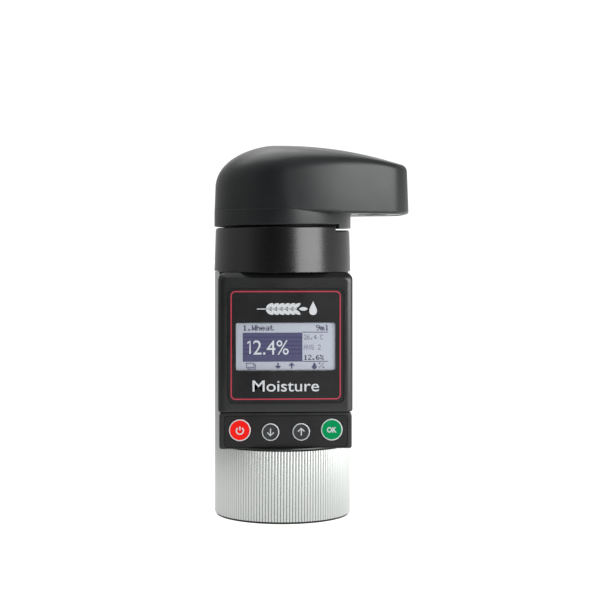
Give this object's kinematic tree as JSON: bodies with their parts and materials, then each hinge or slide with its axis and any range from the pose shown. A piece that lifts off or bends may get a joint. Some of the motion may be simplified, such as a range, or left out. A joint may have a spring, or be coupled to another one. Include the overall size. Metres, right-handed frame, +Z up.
{
  "type": "grain moisture meter",
  "caption": "Hand-held grain moisture meter: ribbed metal tube with a display and keypad housing on its front, a sample collar on top and a screw-down crusher lid with a side lever.",
  "frame": {"origin": "centre of the flat underside of the base, on the axis of the body tube", "axes": "+Z up along the body tube's axis, -Y out of the display panel, +X towards the free end of the lid's lever"},
  "size_m": [0.1067, 0.0756, 0.2032],
  "materials": {
    "anodised_aluminium": "satin anodised, ribbed",
    "turned_aluminium": "turned",
    "hardened_steel": "ground",
    "zinc_screw": "zinc plated",
    "brass": "turned",
    "black_abs": "satin moulded",
    "charcoal_nylon": "fine textured moulded",
    "printed_film": "fine textured print film",
    "clear_acrylic": "clear, polished",
    "lcd_glass": "smooth",
    "white_diffuser": "matt",
    "circuit_board": "solder mask",
    "red_key": "satin",
    "green_key": "satin",
    "black_key": "satin",
    "switch_body": "moulded",
    "nitrile_rubber": "matt",
    "acetal": "natural",
    "battery_jacket": "printed metal jacket",
    "wire_jacket": "pvc"
  },
  "bodies": {
    "housing": {"base_cap": "black_abs", "base_screw_1": "zinc_screw", "base_screw_2": "zinc_screw", "base_screw_3": "zinc_screw", "base_screw_4": "zinc_screw", "battery": "battery_jacket", "battery_connector": "nitrile_rubber", "battery_lead": "wire_jacket", "battery_sleeve": "black_abs", "board_screw_1": "zinc_screw", "board_screw_2": "zinc_screw", "board_screw_3": "zinc_screw", "board_screw_4": "zinc_screw", "body_tube": "anodised_aluminium", "cell_board": "circuit_board", "centre_electrode": "hardened_steel", "collar": "black_abs", "cup_screw_1": "zinc_screw", "cup_screw_2": "zinc_screw", "cup_screw_3": "zinc_screw", "display_housing": "black_abs", "display_overlay": "printed_film", "display_window": "clear_acrylic", "down_switch": "switch_body", "electrode_insulator": "acetal", "electrode_nut": "brass", "grain_cup": "turned_aluminium", "hatch_hinge_pin": "hardened_steel", "key_board": "circuit_board", "keypad_film": "printed_film", "keypad_housing": "black_abs", "lcd_backlight": "white_diffuser", "lcd_screen": "lcd_glass", "lower_burr": "hardened_steel", "main_board": "circuit_board", "ok_switch": "switch_body", "power_switch": "switch_body", "temperature_sensor": "brass", "up_switch": "switch_body"},
    "crank_lid": {"crank_lid_shell": "charcoal_nylon", "lid_skirt_ring": "charcoal_nylon", "threaded_neck": "charcoal_nylon", "upper_burr": "hardened_steel", "lever_underplate": "charcoal_nylon", "underplate_screw_1": "zinc_screw", "underplate_screw_2": "zinc_screw", "burr_screw_1": "zinc_screw", "burr_screw_2": "zinc_screw", "burr_screw_3": "zinc_screw", "lid_screw_1": "zinc_screw", "lid_screw_2": "zinc_screw", "lid_screw_3": "zinc_screw"},
    "thrust_washer": {"thrust_washer": "acetal"},
    "battery_hatch": {"battery_hatch": "black_abs"},
    "power_key": {"power_key": "red_key"},
    "down_key": {"down_key": "black_key"},
    "up_key": {"up_key": "black_key"},
    "ok_key": {"ok_key": "green_key"}
  },
  "joints": [
    {"name": "lid_rise", "type": "slide", "parent": "housing", "child": "thrust_washer", "axis": [0, 0, 1], "range_m": [0, 0.027]},
    {"name": "lid_turn", "type": "hinge", "parent": "thrust_washer", "child": "crank_lid", "pos_m": [0, 0, 0.158], "axis": [0, 0, 1], "range_deg": [0, 4410]},
    {"name": "hatch_hinge", "type": "hinge", "parent": "housing", "child": "battery_hatch", "pos_m": [0, 0.0059, 0.0021], "axis": [-1, 0, 0], "range_deg": [0, 90]},
    {"name": "power_press", "type": "slide", "parent": "housing", "child": "power_key", "axis": [0, 1, 0], "range_m": [0, 0.0004], "stiffness_N_per_m": 400},
    {"name": "down_press", "type": "slide", "parent": "housing", "child": "down_key", "axis": [0, 1, 0], "range_m": [0, 0.0004], "stiffness_N_per_m": 400},
    {"name": "up_press", "type": "slide", "parent": "housing", "child": "up_key", "axis": [0, 1, 0], "range_m": [0, 0.0004], "stiffness_N_per_m": 400},
    {"name": "ok_press", "type": "slide", "parent": "housing", "child": "ok_key", "axis": [0, 1, 0], "range_m": [0, 0.0004], "stiffness_N_per_m": 400}
  ],
  "couplings": [
    {"joint": "lid_rise", "follows": "lid_turn", "m_per_rad": 0.00035014}
  ]
}
